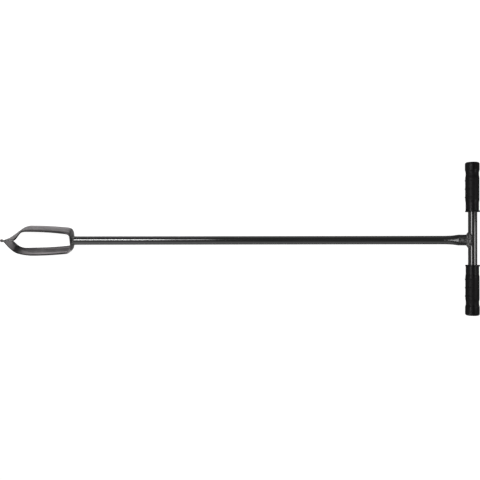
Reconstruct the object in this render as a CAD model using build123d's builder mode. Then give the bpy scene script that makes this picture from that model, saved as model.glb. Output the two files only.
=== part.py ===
from build123d import *

import os
from math import asin, atan2, cos, degrees, hypot, radians, sin

# A hand earth auger with a loop-shaped head: two steel strips run from the shaft's foot down both
# sides of the soil space, lean inwards and forwards at the nose, and meet on the axis above a
# twisted screw point. The tool lies on the ground as it was photographed: the shaft runs along X
# with the screw point at -X, the crossbar runs along Y, and +Z is up. Lengths are in millimetres,
# angles in degrees. A "station" is a distance from the screw point along the shaft's axis.

# Shaft: a round tube whose top end is pressed flat against the crossbar
shaft_diameter = 21.3
shaft_wall = 2.6
crossbar_station = 1184.8
neck_width = 27.0
neck_thickness = 10.0
neck_length = 36.0
press_length = 40.0
oval_join = 75.0
mark_station = 1149.0
mark_radius = 2.0
mark_depth = 0.9

# Crossbar and its two push-on grips
crossbar_diameter = 22.0
crossbar_wall = 2.0
crossbar_length = 373.0
crossbar_shift = 3.0
left_grip_length = 125.0
right_grip_length = 127.0
grip_end_wall = 6.0
grip_clearance = 0.15
grip_flange_radius = 18.0
grip_flange_thickness = 3.5
grip_flange_edge = 0.9
grip_neck_radius = 16.0
grip_palm_radius = 17.0
grip_bulb_radius = 17.6
grip_shift = 0.8
grip_neck_length = 20.0
grip_palm_length = 56.0
grip_waist_length = 8.0
grip_slope_length = 6.0
grip_slope_radius = 12.0
grip_end_radius = 5.0
ridge_height = 1.2
ridge_radius = 2.2
ridge_shift = 2.0
ridge_pitch = 21.0
ridge_count = 3

# Head: two bent strips
blade_radius = 37.7
blade_thickness = 3.0
strip_width = 40.0
strip_angle = 20.6
strip_lean = 3.8
shoulder_station = 183.0
shoulder_radius = 33.3
shoulder_bend = 15.0
left_fullness = 0.85
right_fullness = 0.25
tab_radius = 20.5
nose_station = 79.0
rest_station = 98.0
seam_station = 34.5
lip_start_station = 7.5
lip_full_station = 52.0
lip_reach = 35.2
lip_rate = 1.1
lip_easing = 12.0
heel_sweep = 109.0
heel_fade = 2.3
heel_rise = 1.25
rise_steps = 7
seam_steps = 5

# Screw point: a flat end twisted half a turn, with a round tang between the strips
screw_length = 13.0
screw_width = 7.5
screw_thickness = 3.0
screw_end_width = 2.5
screw_end_thickness = 1.6
screw_twist = 180.0
tang_radius = 2.2
screw_steps = 10

# Weld beads
foot_weld_leg = 5.6
foot_weld_curve = 12.0
crossbar_weld_leg = 7.0
crossbar_weld_height = 6.0
crossbar_weld_lap = 6.0
seam_weld_reach = 3.2
seam_weld_height = 1.0
seam_weld_end = 2.0
seam_weld_clearance = 0.05

os.makedirs("parts", exist_ok=True)

# Resting pose: the rear strip's back edge and both grips touch the ground
half_wall = blade_thickness / 2
strip_half_angle = degrees(asin(strip_width / 2 / (blade_radius - half_wall)))
bend_station = shoulder_station - shoulder_bend
rest_share = (rest_station - nose_station) / (bend_station - nose_station)
rest_radius = blade_radius - (blade_radius - shoulder_radius) * rest_share ** 2
edge_reach = (rest_radius ** 2 - (strip_width / 2) ** 2) ** 0.5
rear_angle = radians(strip_angle + strip_lean)
head_depth = edge_reach * sin(rear_angle) + strip_width / 2 * cos(rear_angle)
rest_span = crossbar_station - rest_station
rest_tilt = atan2(head_depth, rest_span) - asin(grip_flange_radius / hypot(rest_span, head_depth))
tool_length = crossbar_station * cos(rest_tilt) + grip_flange_radius
tip_position = (
    -tool_length / 2,
    -crossbar_shift,
    head_depth * cos(rest_tilt) + rest_station * sin(rest_tilt),
)

# The tool's own plane stands at the screw point: x along the crossbar, y up, z along the shaft
tool = Plane(tip_position, x_dir=(0, 1, 0), z_dir=(cos(rest_tilt), 0, -sin(rest_tilt)))
# The crossbar's plane stands on the crossbar's middle: x towards the screw point, z along the bar
crossbar_middle = tool.from_local_coords((crossbar_shift, 0, crossbar_station))
bar = Plane(crossbar_middle, x_dir=-tool.z_dir, z_dir=tool.x_dir)


def lengthwise(plane):
    """The plane that holds a plane's x axis and its z axis, for profiles turned about that z axis."""
    return Plane(plane.origin, x_dir=plane.x_dir, z_dir=plane.x_dir.cross(plane.z_dir))


def turned(plane, angle):
    """A plane turned about its own z axis by an angle in degrees."""
    x_dir = plane.x_dir * cos(radians(angle)) + plane.y_dir * sin(radians(angle))
    return Plane(plane.origin, x_dir=x_dir, z_dir=plane.z_dir)


def centre_line(plane):
    """The z axis of a plane, to turn a profile about."""
    return Axis(plane.origin, plane.z_dir)


def polar(radius, angle):
    """A point in a cross section, at a radius and an angle in degrees."""
    return Vector(radius * cos(radians(angle)), radius * sin(radians(angle)))


def save(piece, name):
    """Labels one finished piece and writes it under its name."""
    piece.part.label = name
    export_step(piece.part, f"parts/{name}.step")


def draw_oval(width, thickness):
    """Four arcs that meet smoothly and make a pressed tube's section, or a circle for equal sizes."""
    rise = sin(radians(oval_join))
    run = cos(radians(oval_join))
    side_radius = (thickness * run - width * (1 - rise)) / 2 / (rise * run - (1 - rise) * (1 - run))
    join_x = width / 2 - side_radius * (1 - run)
    join_y = side_radius * rise
    ThreePointArc((-join_x, join_y), (0, thickness / 2), (join_x, join_y))
    ThreePointArc((join_x, join_y), (width / 2, 0), (join_x, -join_y))
    ThreePointArc((join_x, -join_y), (0, -thickness / 2), (-join_x, -join_y))
    ThreePointArc((-join_x, -join_y), (-width / 2, 0), (-join_x, join_y))


# Crossbar: a straight tube
with BuildPart() as crossbar:
    with BuildSketch(bar.offset(-crossbar_length / 2)):
        Circle(crossbar_diameter / 2)
        Circle(crossbar_diameter / 2 - crossbar_wall, mode=Mode.SUBTRACT)
    extrude(amount=crossbar_length)
save(crossbar, "crossbar")

# Shaft: round up to the press, then flattened in steps, and notched to sit on the crossbar
neck_station = crossbar_station - neck_length
press_station = neck_station - press_length
# Share of the press length, and how far the tube is flattened there
press_steps = [(0.0, 0.0), (0.2, 0.03), (0.42, 0.13), (0.66, 0.36), (0.86, 0.72), (1.0, 1.0)]
with BuildPart() as shaft:
    for inset, mode in ((0.0, Mode.ADD), (shaft_wall, Mode.SUBTRACT)):
        with BuildSketch(tool.offset(shoulder_station)):
            Circle(shaft_diameter / 2 - inset)
        extrude(amount=press_station - shoulder_station, mode=mode)
        for share, flatness in press_steps:
            width = shaft_diameter + flatness * (neck_width - shaft_diameter)
            thickness = shaft_diameter + flatness * (neck_thickness - shaft_diameter)
            with BuildSketch(tool.offset(press_station + share * press_length)):
                with BuildLine():
                    draw_oval(width - 2 * inset, thickness - 2 * inset)
                make_face()
        loft(mode=mode)
        with BuildSketch(tool.offset(neck_station)):
            with BuildLine():
                draw_oval(neck_width - 2 * inset, neck_thickness - 2 * inset)
            make_face()
        extrude(amount=neck_length, mode=mode)
    with BuildSketch(bar.offset(-neck_width)):
        Circle(crossbar_diameter / 2)
    extrude(amount=2 * neck_width, mode=Mode.SUBTRACT)
    # The press left a punch mark in the top of the neck
    mark_height = neck_thickness / 2 + mark_radius - mark_depth
    with Locations(tool.from_local_coords((0, mark_height, mark_station))):
        Sphere(mark_radius, mode=Mode.SUBTRACT)
save(shaft, "shaft")

# Weld bead that joins the pressed neck to the crossbar
seat_station = crossbar_station - crossbar_diameter / 2
# Share of the bead's height up the neck, and share of the leg that it has spread there
bead_steps = [(1.0, 0.05), (0.45, 0.55), (0.0, 1.0), (-crossbar_weld_lap / crossbar_weld_height, 0.9)]
with BuildPart() as crossbar_weld:
    for share, spread in bead_steps:
        growth = 2 * spread * crossbar_weld_leg
        with BuildSketch(tool.offset(seat_station - share * crossbar_weld_height)):
            with BuildLine():
                draw_oval(neck_width + growth, neck_thickness + growth)
            make_face()
    loft()
    with BuildSketch(tool.offset(neck_station)):
        with BuildLine():
            draw_oval(neck_width, neck_thickness)
        make_face()
    extrude(amount=neck_length, mode=Mode.SUBTRACT)
    with BuildSketch(bar.offset(-2 * neck_width)):
        Circle(crossbar_diameter / 2)
    extrude(amount=4 * neck_width, mode=Mode.SUBTRACT)
save(crossbar_weld, "crossbar_weld")


def make_grip(seat, length):
    """A moulded grip pushed over a bar end: seat is the bar's end plane, with z pointing outwards."""
    inner_end = grip_end_wall - length
    flange_end = inner_end + grip_flange_thickness
    neck_end = flange_end + grip_neck_length
    palm_start = neck_end + grip_slope_length
    palm_end = palm_start + grip_palm_length
    waist_start = palm_end + grip_slope_length
    waist_end = waist_start + grip_waist_length
    bulb_start = waist_end + grip_slope_length
    outline = [
        (grip_neck_radius, inner_end),
        (grip_neck_radius, neck_end),
        (grip_palm_radius, palm_start),
        (grip_palm_radius, palm_end),
        (grip_neck_radius, waist_start),
        (grip_neck_radius, waist_end),
        (grip_bulb_radius, bulb_start),
        (grip_bulb_radius, grip_end_wall),
        (0, grip_end_wall),
    ]
    rounding = [grip_slope_radius] * 6 + [grip_end_radius]
    # The moulding's body stands a little towards the screw point, its flange is true to the bar
    body = Plane(seat.from_local_coords((grip_shift, 0, 0)), x_dir=seat.x_dir, z_dir=seat.z_dir)
    with BuildPart() as grip:
        with BuildSketch(lengthwise(body)):
            with BuildLine():
                FilletPolyline(*outline, radius=rounding)
                Polyline((0, grip_end_wall), (0, inner_end), (grip_neck_radius, inner_end))
            make_face()
        revolve(axis=centre_line(body))
        with BuildSketch(seat.offset(inner_end)):
            Circle(grip_flange_radius)
        extrude(amount=grip_flange_thickness)
        fillet(grip.edges().filter_by(GeomType.CIRCLE).group_by(SortBy.RADIUS)[-1], radius=grip_flange_edge)
        palm_middle = (palm_start + palm_end) / 2
        ring_radius = grip_palm_radius + grip_shift + ridge_height - ridge_shift - ridge_radius
        with BuildSketch(lengthwise(seat)):
            with Locations((ridge_shift + ring_radius, palm_middle)):
                with GridLocations(0, ridge_pitch, 1, ridge_count):
                    Circle(ridge_radius)
        ridge_axis = Axis(seat.from_local_coords((ridge_shift, 0, 0)), seat.z_dir)
        revolve(axis=ridge_axis)
        with BuildSketch(seat):
            Circle(crossbar_diameter / 2 + grip_clearance)
        extrude(amount=-length, mode=Mode.SUBTRACT)
    return grip


left_seat = bar.offset(crossbar_length / 2)
right_seat = Plane(bar.offset(-crossbar_length / 2).origin, x_dir=bar.x_dir, z_dir=-bar.z_dir)
# The right grip has stretched a little as it was pushed on
save(make_grip(left_seat, left_grip_length), "left_grip")
save(make_grip(right_seat, right_grip_length), "right_grip")


def lip_angle(station):
    """Below the nose station the lip winds forward, gently at first and then at a steady rate."""
    lead = hypot(nose_station - station, lip_easing) - lip_easing
    return -strip_half_angle - lip_rate * lead


def lip_point(station):
    """The cutting lip swells out from the screw to its full reach, then eases back to the strip."""
    easing = (station - lip_full_station) / (nose_station - lip_full_station)
    radius = lip_reach + (blade_radius - half_wall - lip_reach) * easing
    if station < lip_full_station:
        share = (station - lip_start_station) / (lip_full_station - lip_start_station)
        radius = lip_reach * sin(radians(90 * share))
    return polar(radius, lip_angle(station))


def heel_point(station):
    """The trailing edge, which leaves the seam on the axis and swings out behind the lip."""
    if station <= seam_station:
        return polar(tang_radius / 2, lip_angle(station))
    share = (station - seam_station) / (nose_station - seam_station)
    swing = blade_radius - half_wall - tang_radius / 2
    radius = tang_radius / 2 + swing * sin(radians(90 * share ** heel_rise))
    return polar(radius, strip_half_angle - heel_sweep * (1 - share) ** heel_fade)


def draw_strip(station):
    """A strip's cross section: two like curves from the lip to the heel, one wall apart."""
    lip = lip_point(station)
    heel = heel_point(station)
    along = (heel - lip).normalized()
    outward = Vector(along.Y, -along.X)
    wall = outward * half_wall
    # The strip is flat on the seam and bows out to its full curve at the nose station
    share = max(0.0, (station - seam_station) / (nose_station - seam_station))
    full_bow = (blade_radius - half_wall) * (1 - cos(radians(strip_half_angle)))
    crown = (lip + heel) / 2 + outward * (share * full_bow)
    if share == 0.0:
        Line(lip + wall, heel + wall)
        Line(heel - wall, lip - wall)
    else:
        ThreePointArc(lip + wall, crown + wall, heel + wall)
        ThreePointArc(heel - wall, crown - wall, lip - wall)
    Line(heel + wall, heel - wall)
    Line(lip - wall, lip + wall)


def draw_wall_face(inset, fullness):
    """One face of the strip's barrel-shaped side, bent shoulder and tab, moved inwards."""
    radius = blade_radius - inset
    swell = (radius, (nose_station + bend_station) / 2)
    side = Bezier((radius, nose_station), swell, (shoulder_radius - inset, bend_station))
    tab_start = Vector(tab_radius, shoulder_station - inset)
    # The bend fills the corner between side and tab more where its fullness is higher
    run = side % 1
    corner = side @ 1 + run * ((tab_start.Y - bend_station) / run.Y)
    side_pull = side @ 1 + (corner - side @ 1) * fullness
    tab_pull = tab_start + (corner - tab_start) * fullness
    Bezier(side @ 1, side_pull, tab_pull, tab_start)
    Line(tab_start, (0, tab_start.Y))


def strip_sections(head, first, last, steps):
    """Cross sections of a strip between two stations, without the last one."""
    sections = []
    for step in range(steps):
        station = first + step * (last - first) / steps
        with BuildSketch(head.offset(station), mode=Mode.PRIVATE) as section:
            with BuildLine():
                draw_strip(station)
            make_face()
        sections.append(section.sketch)
    return sections


def make_blade(half, lean, fullness):
    """One strip, bent from its half of the head: half is a plane on the screw point, x towards it."""
    head = turned(half, lean)
    with BuildPart() as blade:
        # Side, shoulder and tab, as a half shell cut to the strip's width
        with BuildSketch(lengthwise(turned(half, -90))):
            with BuildLine():
                draw_wall_face(0.0, fullness)
                draw_wall_face(blade_thickness, fullness)
                Line((blade_radius, nose_station), (blade_radius - blade_thickness, nose_station))
                Line((0, shoulder_station), (0, shoulder_station - blade_thickness))
            make_face()
        revolve(axis=centre_line(head), revolution_arc=180)
        for outward in (head.y_dir, -head.y_dir):
            edge = Plane(head.origin + outward * (strip_width / 2), x_dir=head.z_dir, z_dir=outward)
            split(bisect_by=edge, keep=Keep.BOTTOM)
        # The part that leans in from the side to the seam on the axis
        side_foot = blade.faces().sort_by(centre_line(head))[0]
        rise = strip_sections(head, seam_station, nose_station, rise_steps)
        loft(sections=[*rise, side_foot])
        # Nose plate down the seam to the screw
        nose = strip_sections(head, screw_length, seam_station, seam_steps)
        loft(sections=[*nose, rise[0]])
        # Room for the screw's tang
        with BuildSketch(head):
            Circle(tang_radius)
        extrude(amount=seam_station, mode=Mode.SUBTRACT)
    return blade


# The left strip is bent a little less far round than the right one, and fuller at its shoulder
left_blade = make_blade(turned(tool, strip_angle), -strip_lean, left_fullness)
right_blade = make_blade(turned(tool, strip_angle + 180), strip_lean, right_fullness)
save(left_blade, "left_blade")
save(right_blade, "right_blade")

# Screw point: a flat bar twisted half a turn, and the tang that the strips are welded to
with BuildPart() as screw_point:
    for step in range(screw_steps + 1):
        share = step / screw_steps
        width = screw_end_width + (screw_width - screw_end_width) * min(1.0, 2 * share)
        thickness = screw_end_thickness + (screw_thickness - screw_end_thickness) * min(1.0, 2 * share)
        angle = strip_angle + lip_angle(screw_length) - screw_twist * (1 - share)
        with BuildSketch(tool.offset(share * screw_length)):
            Rectangle(width, thickness, rotation=angle)
    loft()
    with BuildSketch(tool.offset(screw_length)):
        Circle(tang_radius)
    extrude(amount=seam_station - screw_length)
save(screw_point, "screw_point")

# Weld ring around the shaft's foot, on top of both shoulder tabs
with BuildPart() as foot_weld:
    with BuildSketch(lengthwise(tool)):
        with BuildLine():
            corner = (shaft_diameter / 2, shoulder_station)
            top = (shaft_diameter / 2, shoulder_station + foot_weld_leg)
            toe = (shaft_diameter / 2 + foot_weld_leg, shoulder_station)
            RadiusArc(top, toe, -foot_weld_curve)
            Polyline(toe, corner, top)
        make_face()
    revolve(axis=centre_line(tool))
save(foot_weld, "foot_weld")

# Weld beads along both faces of the seam, over the tang and onto both strips
bed_height = half_wall + seam_weld_clearance
bed_radius = tang_radius + seam_weld_clearance
knee_reach = (bed_radius ** 2 - bed_height ** 2) ** 0.5
seam_weld_start = screw_length + seam_weld_end
seam_weld_length = seam_station - seam_weld_end - seam_weld_start


def bed_point(angle, reach, height):
    """A point beside the seam: reach along a strip that lies at an angle, and height off its middle."""
    return polar(reach, angle) + polar(height, angle + 90)


for name, side in (("front_seam_weld", 1), ("rear_seam_weld", -1)):
    with BuildPart() as seam_weld:
        for step in range(seam_steps + 1):
            station = seam_weld_start + step * seam_weld_length / seam_steps
            middle = strip_angle + lip_angle(station)
            left = middle - strip_lean
            right = middle + strip_lean
            left_foot = bed_point(left, seam_weld_reach, side * bed_height)
            left_knee = bed_point(left, knee_reach, side * bed_height)
            right_knee = bed_point(right, -knee_reach, side * bed_height)
            right_foot = bed_point(right, -seam_weld_reach, side * bed_height)
            with BuildSketch(tool.offset(station)):
                with BuildLine():
                    Line(left_foot, left_knee)
                    ThreePointArc(left_knee, bed_point(middle, 0, side * bed_radius), right_knee)
                    Line(right_knee, right_foot)
                    crown = bed_point(middle, 0, side * (bed_radius + seam_weld_height))
                    ThreePointArc(right_foot, crown, left_foot)
                make_face()
        loft()
    save(seam_weld, name)
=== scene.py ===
# %% [markdown]
# # Dressing a hand earth auger
# The solid model of the tool is already made: a shaft with a crossbar, two rubber grips, and a loop of
# two bent blades that ends in a screw point. This lesson gives each piece its real finish, adds the
# ripples of the weld beads, and sets up a plain studio. The solid model is loaded first.

# %% Load the solid model
import math

import bpy
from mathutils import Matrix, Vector, noise


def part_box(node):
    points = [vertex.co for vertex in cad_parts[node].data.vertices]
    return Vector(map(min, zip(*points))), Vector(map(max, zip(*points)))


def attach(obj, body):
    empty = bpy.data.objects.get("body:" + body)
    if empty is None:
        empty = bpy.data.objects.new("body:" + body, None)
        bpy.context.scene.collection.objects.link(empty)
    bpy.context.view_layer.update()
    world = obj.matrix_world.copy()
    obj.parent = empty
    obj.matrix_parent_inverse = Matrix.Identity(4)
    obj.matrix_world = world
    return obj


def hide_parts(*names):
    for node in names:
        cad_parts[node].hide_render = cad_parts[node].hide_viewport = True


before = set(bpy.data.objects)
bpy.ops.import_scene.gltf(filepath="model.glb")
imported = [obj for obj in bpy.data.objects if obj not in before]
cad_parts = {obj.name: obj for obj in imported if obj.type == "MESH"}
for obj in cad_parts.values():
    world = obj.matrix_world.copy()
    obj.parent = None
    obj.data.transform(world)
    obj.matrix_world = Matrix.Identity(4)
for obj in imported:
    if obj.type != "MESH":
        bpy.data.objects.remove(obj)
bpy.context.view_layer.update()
scene = bpy.context.scene
print("nodes:", ", ".join(sorted(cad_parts)))

# %% [markdown]
# ## The tool's own directions
# The tool lies a little tilted: the thick head lifts one end and the thin grips the other. Finishes such
# as brushed streaks run along the tool and not along the ground, so its own directions are needed. They
# could be typed in, but measuring them on the solids is safer: the weld ring at the shaft's foot and the
# crossbar are both centred on the shaft's axis.

# %% Measure the shaft's axis
def middle(node):
    low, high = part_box(node)
    return (Vector(low) + Vector(high)) / 2


shaft_foot = middle("foot_weld")
bar_middle = middle("crossbar")
along = Vector((bar_middle.x - shaft_foot.x, 0, bar_middle.z - shaft_foot.z)).normalized()
across = Vector((0, 1, 0))
upward = along.cross(across)
tip_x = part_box("screw_point")[0][0]
tip = shaft_foot + along * (tip_x - shaft_foot.x) / along.x
print("screw point at", [round(value * 1000, 1) for value in tip], "mm")
print("tilt", round(math.degrees(math.asin(-along.z)), 2), "degrees")

# %% [markdown]
# ## Camera
# The picture looks straight down on the tool, which fills its width. A 50 mm lens at about 1.7 m gives
# that framing. A longer lens further away would also do, but then the blades' sides would show less. The
# tool lies a hair askew in the picture, so the camera is rolled by less than a tenth of a degree.

# %% Look straight down
camera_height = 1.693
camera_x = -0.0012
camera_y = tip.y + 0.0009
camera_roll = math.radians(-0.08)
camera_data = bpy.data.cameras.new("camera")
camera_data.lens = 50
camera_data.sensor_width = 36
camera = bpy.data.objects.new("camera", camera_data)
camera.location = (camera_x, camera_y, camera_height)
camera.rotation_euler = (0.0, 0.0, camera_roll)
scene.collection.objects.link(camera)
scene.camera = camera
print("camera height", camera_height, "m")

# %% [markdown]
# ## Writing shader maths as sums
# A finish is a tree of nodes. Adding each Math node by hand makes long code, so one small class wraps a
# socket: a sum or product of two wrapped sockets adds the Math node for it. Every other kind of node
# comes from its `node` method, which takes the node's type, its settings, and what goes in its sockets.

# %% A socket that can be added and multiplied
class Field:
    def __init__(self, tree, socket=None):
        self.tree = tree
        self.socket = socket

    def node(self, kind, settings=None, sockets=None, output=0):
        made = self.tree.nodes.new(kind)
        for name, value in (settings or {}).items():
            setattr(made, name, value)
        for name, value in (sockets or {}).items():
            if isinstance(value, Field):
                self.tree.links.new(value.socket, made.inputs[name])
            else:
                made.inputs[name].default_value = value
        return Field(self.tree, made.outputs[output])

    def maths(self, operation, first, second=0.0):
        return self.node("ShaderNodeMath", {"operation": operation}, {0: first, 1: second})

    def __add__(self, other):
        return self.maths("ADD", self, other)

    def __sub__(self, other):
        return self.maths("SUBTRACT", self, other)

    def __rsub__(self, other):
        return self.maths("SUBTRACT", other, self)

    def __mul__(self, other):
        return self.maths("MULTIPLY", self, other)

    def __truediv__(self, other):
        return self.maths("DIVIDE", self, other)

    def __pow__(self, other):
        return self.maths("POWER", self, other)

    __radd__ = __add__
    __rmul__ = __mul__

    def step(self, low, high):
        limits = {"Value": self, "From Min": low, "From Max": high}
        return self.node("ShaderNodeMapRange", {"interpolation_type": "SMOOTHSTEP"}, limits)


# %% [markdown]
# ## Helpers for colour and place
# Some small helpers are shared by all finishes. `new_finish` makes a material and hands over its shader,
# and `feed` links a value to one of the shader's sockets. `blend` mixes two colours with a Mix node,
# because a Math node would turn them grey. Two helpers write down a tone: `grey`, with a touch of warmth
# where that is asked for, and `rosy`, the faint pink of bare steel and of rubber. The last one gives the
# tool's own coordinates in millimetres, so that sizes in a finish can be read off a ruler.

# %% Materials, colours and coordinates
def new_finish(name):
    material = bpy.data.materials.new(name)
    material.use_nodes = True
    shader = material.node_tree.nodes["Principled BSDF"]
    return material, shader, Field(material.node_tree)


def blend(mask, first, second):
    return mask.node("ShaderNodeMix", {"data_type": "RGBA"}, {0: mask, 6: first, 7: second}, output=2)


def grey(value, warmth=0.0):
    return (value * (1 + warmth), value, value * (1 - warmth), 1.0)


def rosy(value):
    return (value * 1.06, value, value * 1.02, 1.0)


def feed(shader, name, field):
    field.tree.links.new(field.socket, shader.inputs[name])


def tool_coordinates(paint):
    place = paint.node("ShaderNodeTexCoord", output="Object")
    offset = paint.node("ShaderNodeVectorMath", {"operation": "SUBTRACT"}, {0: place, 1: tip})
    fields = []
    for direction in (along, across, upward):
        factors = {0: offset, 1: direction * 1000}
        length = paint.node("ShaderNodeVectorMath", {"operation": "DOT_PRODUCT"}, factors, output="Value")
        fields.append(length)
    return fields


# %% [markdown]
# ## Helpers for noise and relief
# Noise is stretched by dividing each coordinate by a length of its own, which makes streaks out of
# blotches. A Bump node turns a pattern into a slightly raised surface. Where a sharp corner should look
# worn, a Bevel node under the bump rounds it in the shading, which is simpler than cutting extra faces.

# %% Noise and relief
def grain(paint, x, y, z, detail=3.0):
    vector = paint.node("ShaderNodeCombineXYZ", None, {0: x, 1: y, 2: z})
    return paint.node("ShaderNodeTexNoise", None, {"Vector": vector, "Scale": 1.0, "Detail": detail})


def raise_surface(shader, height, distance, strength, rounding=0.0):
    sockets = {"Height": height, "Distance": distance, "Strength": strength}
    if rounding:
        sockets["Normal"] = height.node("ShaderNodeBevel", {"samples": 4}, {"Radius": rounding})
    feed(shader, "Normal", height.node("ShaderNodeBump", None, sockets))


# %% [markdown]
# ## Black lacquer on the tubes
# The shaft and the crossbar are steel tubes dipped in black lacquer. Real lacquer is never quite even:
# it has long faint runs, a fine orange-peel skin and specks of dust. The runs are noise that is
# stretched along the tube, and they change the colour and the gloss a little together. The crossbar is
# handled more, so it is a shade browner and duller than the shaft. The shaft's pressed neck is duller too,
# and the middle of its flat is lighter in patches: partly where the heat of the weld scorched the lacquer,
# partly as a painted reflection. Where these begin and end is given in millimetres from the screw point,
# and the flat's width in millimetres from its middle.

# %% Lacquer for the shaft and the crossbar
pressing = (1085.0, 1115.0)
scorch_and_sheen_stations = (1146.0, 1152.0)
flat_edge = (4.0, 9.0)


def lacquer(name, dark, light, warmth, roughness, runs_lengthwise, neck):
    material, shader, paint = new_finish(name)
    station, side, height = tool_coordinates(paint)
    if runs_lengthwise:
        runs = grain(paint, station / 90, side / 2.5, height / 2.5, 1.0)
    else:
        runs = grain(paint, station / 2.5, side / 60, height / 2.5, 1.0)
    specks = grain(paint, station / 1.3, side / 1.3, height / 1.3, 1.0).step(0.68, 0.74)
    skin = grain(paint, station / 2.2, side / 2.2, height / 2.2, 1.0)
    pressed = station.step(*pressing) * neck
    patches = grain(paint, station / 4, side / 4, height / 4, 1.0).step(0.4, 0.6)
    flat = 1 - paint.maths("ABSOLUTE", side).step(*flat_edge)
    # Lighter patches on the middle of the flat: partly scorched lacquer, partly a painted reflection.
    scorch_and_sheen = station.step(*scorch_and_sheen_stations) * flat * patches * neck
    colour = blend(runs.step(0.3, 0.7), grey(dark, warmth), grey(light, warmth))
    colour = blend(scorch_and_sheen * 0.8, colour, grey(0.14))
    feed(shader, "Base Color", blend(specks * 0.25, colour, grey(0.1)))
    feed(shader, "Roughness", roughness + 0.03 * runs + 0.06 * pressed)
    raise_surface(shader, skin, 0.0002, 0.003)
    shader.inputs["Specular IOR Level"].default_value = 1.0
    return material


shaft_lacquer = lacquer(
    "black_lacquer", dark=0.01, light=0.02, warmth=0.0, roughness=0.1, runs_lengthwise=True, neck=1.0,
)
bar_lacquer = lacquer(
    "bar_lacquer", dark=0.006, light=0.012, warmth=0.2, roughness=0.14, runs_lengthwise=False, neck=0.0,
)
print("lacquers:", shaft_lacquer.name, bar_lacquer.name)

# %% [markdown]
# ## Rubber grips
# The grips are moulded in black rubber. The palm has a fine stipple that takes the shine off, and the
# neck, waist and bulb are smoother, which shows as lighter streaks there. A thin parting line runs along
# both sides, where the halves of the mould met. The palm's two ends are given in millimetres from the
# grip's outer end, which is read off the grip's own box.

# %% Rubber with a stippled palm
palm_start = (26, 28)
palm_end = (94, 96)


def rubber():
    material, shader, paint = new_finish("grip_rubber")
    station, side, height = tool_coordinates(paint)
    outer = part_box("left_grip")[1][1] * 1000
    from_middle = paint.maths("ABSOLUTE", side + tip.y * 1000)
    inset = outer - from_middle
    palm = inset.step(*palm_start) * (1 - inset.step(*palm_end))
    stipple = grain(paint, station / 0.8, side / 0.8, height / 0.8, 2.0)
    parting = 1 - paint.maths("ABSOLUTE", height).step(0.15, 0.45)
    bloom = grain(paint, station / 14, side / 14, height / 14)
    colour = blend(bloom.step(0.35, 0.7), rosy(0.003), rosy(0.006))
    feed(shader, "Base Color", blend(palm * 0.4, colour, rosy(0.003)))
    feed(shader, "Roughness", 0.3 + 0.12 * palm + 0.1 * bloom)
    raise_surface(shader, stipple * (0.25 + 0.75 * palm) + parting, 0.0004, 0.2)
    shader.inputs["Specular IOR Level"].default_value = 0.22
    return material


grip_rubber = rubber()
print("rubber:", grip_rubber.name)

# %% [markdown]
# ## Where a point lies across the strip
# The blades are bent from rolled steel strip, and the mill's streaks follow the strip round every bend.
# An unwrapped texture could do that too, but it would need seams and a painted picture. Here the finish
# works out how far a point lies from the strip's leading lip and from its trailing heel. It repeats the
# way that the strip is laid out: at each distance from the screw point, both edges have a turn about the
# shaft's axis and a radius. Lengths are in millimetres and turns in degrees.

# %% Distances from the lip and the heel
nose_station = 79.0
seam_station = 34.5
half_turn = 33.5
nose_rounding = 12.0
lip_twist = 1.1
lip_start = 7.5
lip_run = 44.5
lip_reach = 35.2
lip_flare = 1.0
heel_start = 1.1
heel_reach = 35.1
heel_rise = 1.25
heel_swing = 109.0
heel_fade = 2.3


def strip_share(paint, station, x, y):
    below = paint.maths("MINIMUM", station, nose_station)
    share = paint.maths("MAXIMUM", (below - seam_station) / (nose_station - seam_station), 0.0)
    lead = ((nose_station - below) ** 2.0 + nose_rounding ** 2) ** 0.5 - nose_rounding
    lip_turn = (-half_turn - lip_twist * lead) * math.radians(1)
    lip_rise = paint.maths("MINIMUM", (below - lip_start) / lip_run, 1.0) * math.radians(90)
    flare = lip_flare * below.step(lip_start + lip_run, nose_station)
    lip_radius = lip_reach * paint.maths("SINE", lip_rise) + flare
    heel_radius = heel_start + heel_reach * paint.maths("SINE", share ** heel_rise * math.radians(90))
    heel_turn = (half_turn - heel_swing * (1 - share) ** heel_fade) * math.radians(1)
    lip_x = lip_radius * paint.maths("COSINE", lip_turn)
    lip_y = lip_radius * paint.maths("SINE", lip_turn)
    chord_x = heel_radius * paint.maths("COSINE", heel_turn) - lip_x
    chord_y = heel_radius * paint.maths("SINE", heel_turn) - lip_y
    length = (chord_x ** 2.0 + chord_y ** 2.0) ** 0.5
    from_lip = ((x - lip_x) * chord_x + (y - lip_y) * chord_y) / length
    return from_lip, length - from_lip


strip_width = (lip_reach + lip_flare + heel_start + heel_reach) * math.sin(math.radians(half_turn))
print("strip from lip to heel", round(strip_width, 1), "mm")

# %% [markdown]
# ## Blade steel
# The mill leaves streaks along the strip and handling leaves fine scratches. The edges carry painted
# shade, as the strip's cut faces turn away from the lamps. The steel is lighter towards the lip, partly
# because the earth polishes it there and partly as painted light where the strip faces the lamps. It is
# darker round the nose. Painted shade darkens the hollow along the heel behind the nose, a fold across the
# strip, and the shoulder, which faces away from the lamps. Near the shoulder the painted shade on the
# edges eases off. Each strip has its own amounts of these, set for the way it lies under the lamps. Where
# they begin and end is again given in millimetres from the screw point, or from the lip or the heel.

# %% Steel for the two blades
nose_end = (42.0, 95.0)
hollow_start = (34.0, 38.0)
hollow_end = (52.0, 68.0)
fold_start = (39.5, 44.5)
fold_end = (48.0, 62.0)
shoulder_start = (177.0, 182.0)
edge_width = (0.6, 2.8)
edge_shade_taper = (164.0, 176.0)


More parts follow.
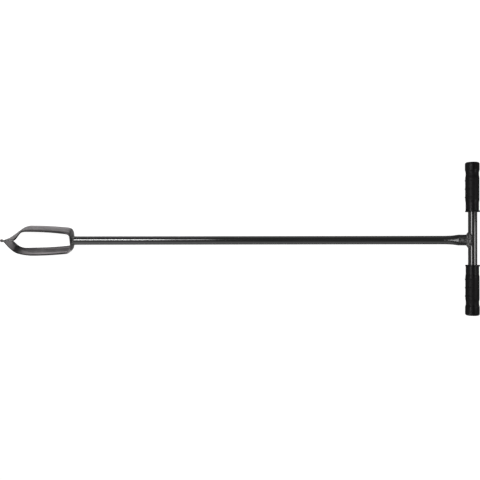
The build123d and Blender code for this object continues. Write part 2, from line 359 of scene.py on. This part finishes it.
def blade_steel(name, turn, seed, fade, light, dark, nose_shade, hollow_reach, hollow_shade, fold_shade,
                edge_shade):
    material, shader, paint = new_finish(name)
    station, side, height = tool_coordinates(paint)
    cosine = math.cos(math.radians(turn))
    sine = math.sin(math.radians(turn))
    x = side * cosine + height * sine
    y = height * cosine - side * sine
    from_lip, from_heel = strip_share(paint, station, x, y)
    streaks = grain(paint, from_lip / 1.6, station / 70, 0.0, 4.0)
    bands = grain(paint, from_lip / 5, station / 120, seed, 1.0)
    clouds = grain(paint, station / 22, side / 22, height / 22)
    scratches = grain(paint, from_lip / 0.35, station / 18, 3.0, 1.0).step(0.66, 0.74)
    tone = (0.5 * streaks + 0.5 * bands).step(0.35, 0.65)
    bright = blend(tone, rosy(light * 0.8), rosy(light * 1.2))
    dull = blend(tone, rosy(dark), rosy(dark * 2.6))
    # Lighter towards the lip: partly polish from the earth, partly painted light where the strip faces the
    # lamps.
    colour = blend(from_lip.step(*fade), bright, dull)
    colour = blend(clouds.step(0.45, 0.75) * 0.2, colour, rosy(0.5))
    colour = blend(scratches * 0.35, colour, rosy(0.8))
    nose = 1 - station.step(*nose_end)
    hollow = station.step(*hollow_start) * (1 - station.step(*hollow_end))
    hollow = hollow * (1 - from_heel.step(*hollow_reach))
    fold = station.step(*fold_start) * (1 - station.step(*fold_end))
    shoulder = station.step(*shoulder_start)
    # Painted shade on the strip's cut edges, which turn away from the lamps; it eases off near the
    # shoulder.
    edge = 1 - paint.maths("MINIMUM", from_lip, from_heel).step(*edge_width)
    edge = edge * (1 - 0.45 * station.step(*edge_shade_taper))
    colour = blend(nose * nose_shade, colour, rosy(0.05))
    # Painted shade in the hollow along the heel and in the fold across the strip.
    colour = blend(paint.maths("MAXIMUM", hollow * hollow_shade, fold * fold_shade), colour, rosy(0.03))
    # Painted shade on the shoulder, which faces away from the lamps.
    colour = blend(shoulder * 0.8, colour, rosy(0.04))
    feed(shader, "Base Color", blend(edge * edge_shade, colour, rosy(0.03)))
    roughness = 0.38 + 0.2 * streaks - 0.08 * scratches + 0.1 * edge + 0.3 * hollow
    feed(shader, "Roughness", roughness)
    raise_surface(shader, streaks + clouds * 0.6, 0.0003, 0.3, rounding=0.0013)
    shader.inputs["Metallic"].default_value = 0.8
    return material


left_steel = blade_steel(
    "left_blade_steel", turn=16.8, seed=3.0, fade=(4.0, 44.0), light=0.52, dark=0.14,
    nose_shade=0.4, hollow_reach=(3.5, 8.0), hollow_shade=0.92, fold_shade=0.0, edge_shade=0.88,
)
right_steel = blade_steel(
    "right_blade_steel", turn=24.4 + 180, seed=7.0, fade=(20.0, 26.0), light=0.56, dark=0.1,
    nose_shade=0.6, hollow_reach=(4.0, 18.0), hollow_shade=0.6, fold_shade=0.95, edge_shade=0.97,
)
print("steel:", left_steel.name, right_steel.name)

# %% [markdown]
# ## Point and weld metal
# The screw point is forged and turned in the ground, so it is plainer and darker than the blades. Weld
# metal is lacquered with the shaft. Both are darker between their lumps and lighter on the crests and in
# small flecks: partly bare metal, where the weld's lacquer is thin, and partly painted highlights.

# %% Forged point and weld metal
def forged(name, dark, light, metal):
    material, shader, paint = new_finish(name)
    station, side, height = tool_coordinates(paint)
    lumps = grain(paint, station / 3, side / 3, height / 3)
    flecks_and_glints = grain(paint, station / 0.9, side / 0.9, height / 0.9, 1.0).step(0.55, 0.7)
    # Lighter on the crests of the lumps and in flecks: partly bare metal, partly painted highlights.
    colour = blend(lumps.step(0.35, 0.7), grey(dark, 0.02), grey(light, 0.02))
    feed(shader, "Base Color", blend(flecks_and_glints * 0.2, colour, grey(light * 1.5)))
    feed(shader, "Roughness", 0.3 + 0.25 * lumps)
    raise_surface(shader, lumps, 0.0006, 0.25)
    shader.inputs["Metallic"].default_value = metal
    return material


point_steel = forged("point_steel", dark=0.1, light=0.2, metal=0.8)
weld_metal = forged("weld_metal", dark=0.02, light=0.27, metal=0.6)
print("forged:", point_steel.name, weld_metal.name)

# %% [markdown]
# ## Weld beads
# A weld bead is a row of overlapping ripples, one for each pause of the torch. The solid model has only
# the plain bead. A copy of its mesh is cut into small even cells by a voxel remesh, and the points on its
# open side then sink along their normals with a wave that runs along the bead, so the ripples catch the
# light. Points on its seats, which face the shaft's axis or lie square to it, stay where they are. A bead
# with a radius runs round the shaft's axis, and one without runs along it. Its sizes are in metres.

# %% Ripple the beads
def rippled(node, cell, radius, pitch, depth, material, slot):
    piece = bpy.data.objects.new(node + "_ripples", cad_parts[node].data.copy())
    scene.collection.objects.link(piece)
    remesh = piece.modifiers.new("cells", "REMESH")
    remesh.mode = "VOXEL"
    remesh.voxel_size = cell
    bpy.context.view_layer.update()
    ready = piece.evaluated_get(bpy.context.evaluated_depsgraph_get())
    mesh = bpy.data.meshes.new_from_object(ready)
    piece.modifiers.clear()
    piece.data = mesh
    for vertex in mesh.vertices:
        offset = vertex.co - tip
        if radius:
            run = math.atan2(offset.dot(upward), offset.dot(across)) * radius
        else:
            run = offset.dot(along)
        outward = (offset - along * offset.dot(along)).normalized()
        open_side = min(1.0, max(0.0, 1.6 * vertex.normal.dot(outward)))
        wobble = noise.noise(vertex.co * 150)
        lump = 0.5 + 0.5 * noise.noise(vertex.co * 300)
        dip = 0.5 - 0.5 * math.cos(math.tau * (run / pitch + 0.6 * wobble))
        vertex.co -= vertex.normal * depth * open_side * (0.65 * dip + 0.35 * lump)
    mesh.shade_smooth()
    mesh.materials.clear()
    mesh.materials.append(material)
    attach(piece, "root")
    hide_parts(node)
    print(node, "points", len(mesh.vertices))


ring = {"cell": 0.0006, "material": weld_metal, "slot": "weld_metal"}
seam = {"cell": 0.0003, "material": point_steel, "slot": "blade_steel"}
rippled("crossbar_weld", radius=0.014, pitch=0.0042, depth=0.0012, **ring)
rippled("foot_weld", radius=0.013, pitch=0.0036, depth=0.0007, **ring)
rippled("front_seam_weld", radius=0.0, pitch=0.0024, depth=0.0003, **seam)
rippled("rear_seam_weld", radius=0.0, pitch=0.0024, depth=0.0003, **seam)

# %% [markdown]
# ## Give the solids their finishes
# The other solids already have their real shape, so they stay as they are: only the finish in their
# material slots changes. The beads above stand in for the plain ones and have theirs already.

# %% Dress the solids
finishes = {
    "shaft": shaft_lacquer,
    "crossbar": bar_lacquer,
    "left_grip": grip_rubber,
    "right_grip": grip_rubber,
    "left_blade": left_steel,
    "right_blade": right_steel,
    "screw_point": point_steel,
}
for node, finish in finishes.items():
    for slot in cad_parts[node].material_slots:
        slot.material = finish
print("dressed", len(finishes), "solids")

# %% [markdown]
# ## The room
# The world is the room that the tool mirrors. It is dim overhead, so that black lacquer stays black,
# lighter towards the horizon, and lightest on the near side, which the shaft catches along its lower
# flank. The near left corner is lighter still, so the shine on that flank fades towards the handle. A sky
# picture would do the same, but it would bring its own colours. The camera sees the room as white.

# %% World
world = bpy.data.worlds.new("studio")
world.use_nodes = True
scene.world = world
room = Field(world.node_tree)
direction = room.node("ShaderNodeTexCoord", output="Generated")
sideways = room.node("ShaderNodeSeparateXYZ", None, {0: direction}, output="X")
depth = room.node("ShaderNodeSeparateXYZ", None, {0: direction}, output="Y")
rise = room.node("ShaderNodeSeparateXYZ", None, {0: direction}, output="Z")
horizon = 1 - rise.step(0.05, 0.45)
near_side = (0 - depth).step(0.4, 0.9)
near_corner = (0 - depth).step(0.15, 0.5) * (0 - sideways).step(-0.2, 0.35)
walls = 0.13 + 0.35 * horizon + 0.5 * near_side + 0.4 * near_corner
seen = room.node("ShaderNodeLightPath", output="Is Camera Ray")
background = world.node_tree.nodes["Background"]
feed(background, "Strength", room.maths("MAXIMUM", walls, seen))
background.inputs["Color"].default_value = (1.0, 1.0, 1.0, 1.0)
print("world:", world.name)

# %% [markdown]
# ## Floor
# The floor is white and takes only a trace of the tool's shadow. A stronger lamp could make it white, but
# it would also wash out the lacquer. So the white comes from a glow that the camera sees, and a weaker
# one for mirror rays, so that bare steel mirrors a bright floor. The weaker glow fades out towards the
# handle, which keeps the flanks of the crossbar dark. The floor lies a hair under the tool.

# %% White floor
reach = 6.0
floor_drop = 0.0005
camera_glow = 0.94
mirror_glow = 0.3
mirror_fade = (0.3, 0.6)
corners = [(-reach, -reach), (reach, -reach), (reach, reach), (-reach, reach)]
floor_mesh = bpy.data.meshes.new("floor")
floor_mesh.from_pydata([(x, y, -floor_drop) for x, y in corners], [], [(0, 1, 2, 3)])
floor = bpy.data.objects.new("floor", floor_mesh)
scene.collection.objects.link(floor)
floor_material, floor_shader, floor_paint = new_finish("floor_white")
floor_seen = floor_paint.node("ShaderNodeLightPath", output="Is Camera Ray")
floor_mirrored = floor_paint.node("ShaderNodeLightPath", output="Is Glossy Ray")
floor_place = floor_paint.node("ShaderNodeTexCoord", output="Object")
floor_along = floor_paint.node("ShaderNodeSeparateXYZ", None, {0: floor_place}, output="X")
floor_faded = 1 - floor_along.step(*mirror_fade)
floor_glow = camera_glow * floor_seen + mirror_glow * floor_mirrored * floor_faded
floor_shader.inputs["Base Color"].default_value = grey(0.3)
floor_shader.inputs["Roughness"].default_value = 0.9
floor_shader.inputs["Specular IOR Level"].default_value = 0.0
floor_shader.inputs["Emission Strength"].default_value = 1.0
feed(floor_shader, "Emission Color", blend(floor_glow, grey(0.0), grey(1.0)))
floor_mesh.materials.append(floor_material)
print("floor", 2 * reach, "m square")

# %% [markdown]
# ## Lamps
# A streak on a shiny tube is a mirrored lamp, so each lamp stands where its streak needs it. A softbox
# high beside the head gives the long streak on the shaft. That streak fades towards the handle, so the
# box is made of three strips, each dimmer than the last. A lamp far on the left and one low on the right
# give the two streaks on the crossbar, and the right one also lights the slope of the pressed neck.

# %% Softbox and side lamps
def lamp(name, place, lean, width, length, watts, beam=180):
    data = bpy.data.lights.new(name, "AREA")
    data.shape = "RECTANGLE"
    data.size = width
    data.size_y = length
    data.energy = watts
    data.spread = math.radians(beam)
    made = bpy.data.objects.new(name, data)
    made.location = place
    made.rotation_euler = (0.0, math.radians(lean), 0.0)
    scene.collection.objects.link(made)
    print(name, round(watts, 2), "watts")


softbox_side = 0.72
softbox_height = 1.9
softbox_depth = 0.5
watts_per_metre = 11.0
softbox_strips = [
    ("head_lamp", -1.12, -0.5, 1.0),
    ("fade_lamp", -0.5, -0.36, 0.7),
    ("tail_lamp", -0.36, -0.12, 0.25),
]
for name, start, end, share in softbox_strips:
    place = ((start + end) / 2, softbox_side, softbox_height)
    watts = watts_per_metre * (end - start) * share
    lamp(name, place, 0, end - start, softbox_depth, watts, beam=75)
lamp("far_lamp", (-1.25, 0.0, 1.736), lean=-50, width=0.85, length=1.0, watts=0.98, beam=40)
lamp("near_lamp", (1.193, -0.04, 0.826), lean=41.5, width=0.53, length=0.22, watts=1.5)
scene.view_settings.view_transform = "Standard"
